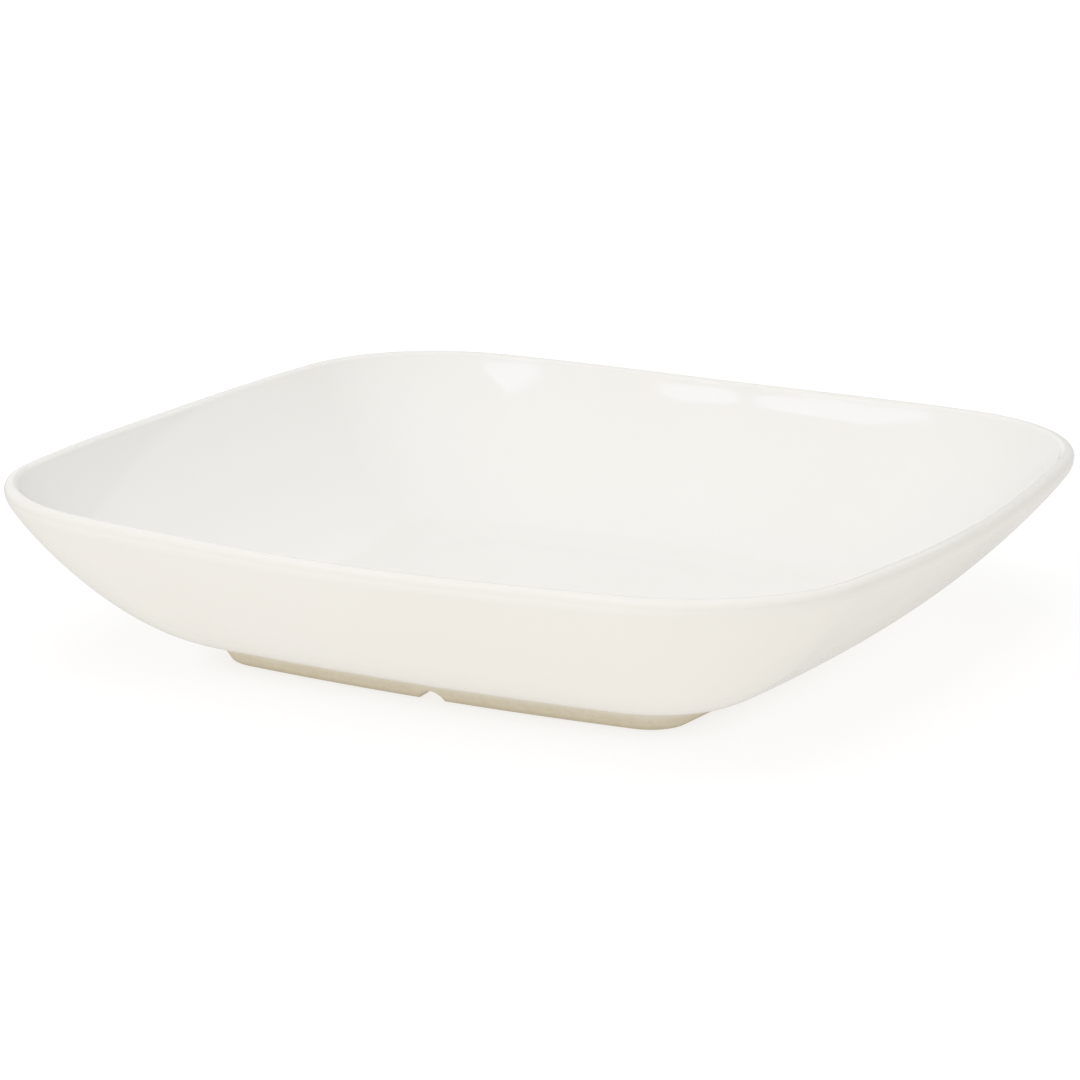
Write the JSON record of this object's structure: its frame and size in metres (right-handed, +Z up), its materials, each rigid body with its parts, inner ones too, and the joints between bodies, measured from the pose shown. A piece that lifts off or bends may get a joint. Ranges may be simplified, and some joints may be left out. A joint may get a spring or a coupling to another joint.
{
  "type": "soup plate",
  "caption": "Square soup plate with rounded corners and softly bowed sides: a smooth deep well inside a rounded rim, on a low bare foot ring with drain notches.",
  "frame": {"origin": "middle of the plate, on the surface that it stands on", "axes": "+Z up through the middle of the well, +X and +Y through the middles of two neighbouring sides"},
  "size_m": [0.2, 0.2, 0.04],
  "materials": {
    "bare_clay": "matt, fine-grained",
    "ivory_glaze": "glossy"
  },
  "bodies": {
    "root": {"plate_body": "bare_clay", "glaze_coat": "ivory_glaze", "underside_glaze": "ivory_glaze"}
  },
  "joints": []
}
